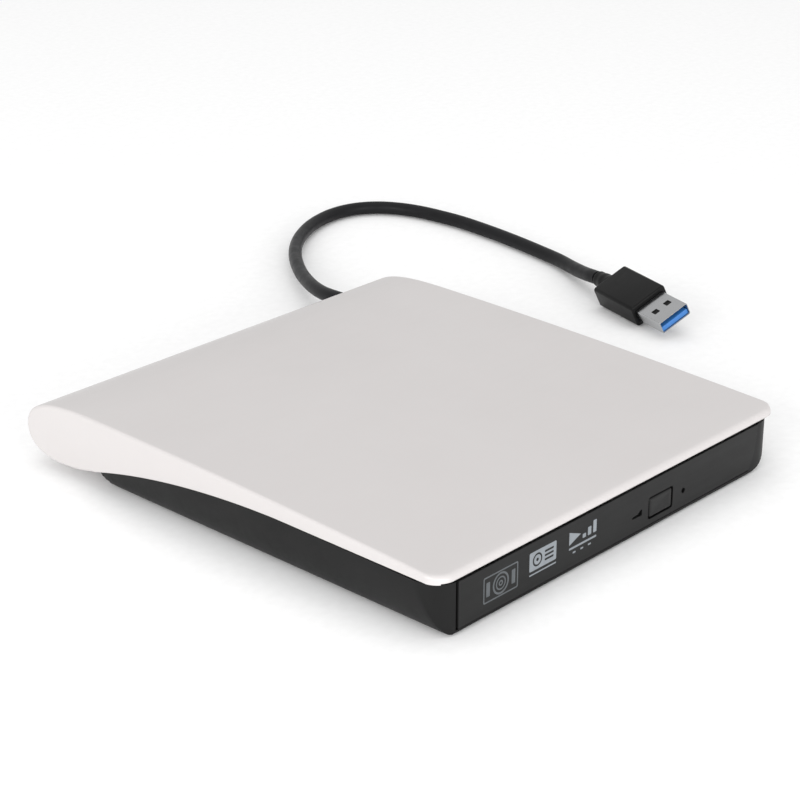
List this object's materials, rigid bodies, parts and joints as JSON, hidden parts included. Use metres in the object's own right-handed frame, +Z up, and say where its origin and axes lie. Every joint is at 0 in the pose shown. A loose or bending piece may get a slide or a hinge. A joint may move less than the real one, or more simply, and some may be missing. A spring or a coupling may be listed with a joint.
{
  "type": "external optical drive",
  "caption": "Slim external disc drive: pale cover with a rounded rear roll over a black body, a sliding disc tray and a short captive USB lead.",
  "frame": {"origin": "on the table, under the middle of the housing without its lead", "axes": "+Z up, -Y towards the tray front, +X to the right seen from the front"},
  "size_m": [0.2441, 0.2493, 0.0218],
  "materials": {
    "cover": "satin",
    "shell": "fine texture",
    "rubber": "matte",
    "steel": "plain",
    "screw_steel": "blackened",
    "board": "solder resist",
    "connector": "moulded",
    "chip": "moulded epoxy",
    "ribbon": "film",
    "polished_steel": "ground",
    "rail_steel": "zinc plated",
    "tray": "moulded",
    "bezel": "satin",
    "light_pipe": "clear smoke",
    "button": "satin",
    "pale_plastic": "moulded",
    "hub": "moulded",
    "sled": "die cast",
    "lens": "polished",
    "cord": "soft PVC",
    "plug_plastic": "fine texture",
    "plug_metal": "nickel plated",
    "plug_blue": "moulded"
  },
  "bodies": {
    "housing": {"top_cover": "cover", "lower_shell": "shell", "rubber_foot_front_left": "rubber", "rubber_foot_front_right": "rubber", "rubber_foot_rear_left": "rubber", "rubber_foot_rear_right": "rubber", "drive_lower_case": "steel", "drive_upper_case": "steel", "case_screw_left": "screw_steel", "case_screw_right": "screw_steel", "drive_board": "board", "sata_connector": "connector", "drive_chip": "chip", "flash_chip": "chip", "ribbon_cable": "ribbon", "latch_post": "polished_steel", "bridge_board": "board", "board_screw_1": "screw_steel", "board_screw_2": "screw_steel", "bridge_socket": "connector", "bridge_chip": "chip", "bridge_crystal": "steel", "lead_connector": "pale_plastic", "inner_lead": "cord", "cable_strain_relief": "plug_plastic", "usb_cable": "cord", "plug_boot": "plug_plastic", "plug_overmould": "plug_plastic", "plug_shell": "plug_metal", "plug_insulator": "plug_blue"},
    "tray": {"disc_tray": "tray", "tray_bezel": "bezel", "light_pipe": "light_pipe", "tray_board": "board", "eject_switch": "chip", "latch_pin": "polished_steel", "latch_solenoid": "steel", "damper_1": "rubber", "damper_2": "rubber", "damper_3": "rubber", "traverse_chassis": "rail_steel", "guide_rod_low": "polished_steel", "guide_rod_high": "polished_steel", "sled_motor": "steel", "spindle_motor": "steel", "traverse_cover": "steel"},
    "rail_left": {"slide_rail_left": "rail_steel"},
    "rail_right": {"slide_rail_right": "rail_steel"},
    "button": {"eject_button": "button"},
    "turntable": {"turntable_hub": "hub", "disc_clamp_ball_1": "polished_steel", "disc_clamp_ball_2": "polished_steel", "disc_clamp_ball_3": "polished_steel"},
    "sled": {"pickup_sled": "sled", "lens_holder": "hub", "objective_lens": "lens"},
    "screw": {"lead_screw": "polished_steel"},
    "latch": {"latch_lever": "pale_plastic"}
  },
  "joints": [
    {"name": "tray_slide", "type": "slide", "parent": "housing", "child": "tray", "axis": [0, -1, 0], "range_m": [0, 0.13]},
    {"name": "rail_left_slide", "type": "slide", "parent": "housing", "child": "rail_left", "axis": [0, -1, 0], "range_m": [0, 0.0651]},
    {"name": "rail_right_slide", "type": "slide", "parent": "housing", "child": "rail_right", "axis": [0, -1, 0], "range_m": [0, 0.0651]},
    {"name": "eject_button_press", "type": "slide", "parent": "tray", "child": "button", "axis": [0, 1, 0], "range_m": [0, 0.0008], "stiffness_N_per_m": 300},
    {"name": "turntable_spin", "type": "hinge", "parent": "tray", "child": "turntable", "pos_m": [-0.00125, -0.0149, 0.0023], "axis": [0, 0, 1], "continuous": true},
    {"name": "sled_travel", "type": "slide", "parent": "tray", "child": "sled", "axis": [-0.7071, -0.7071, 0], "range_m": [0, 0.033]},
    {"name": "lead_screw_turn", "type": "hinge", "parent": "tray", "child": "screw", "pos_m": [0.009, -0.02515, 0.0059], "axis": [-0.7071, -0.7071, 0], "range_deg": [0, 3961]},
    {"name": "latch_turn", "type": "hinge", "parent": "tray", "child": "latch", "pos_m": [0.04575, -0.0369, 0.0023], "axis": [0, 0, 1], "range_deg": [-10, 0], "stiffness_Nm_per_rad": 0.002}
  ],
  "couplings": [
    {"joint": "rail_left_slide", "follows": "tray_slide", "ratio": 0.5},
    {"joint": "rail_right_slide", "follows": "tray_slide", "ratio": 0.5},
    {"joint": "lead_screw_turn", "follows": "sled_travel", "rad_per_m": 2094.4}
  ]
}
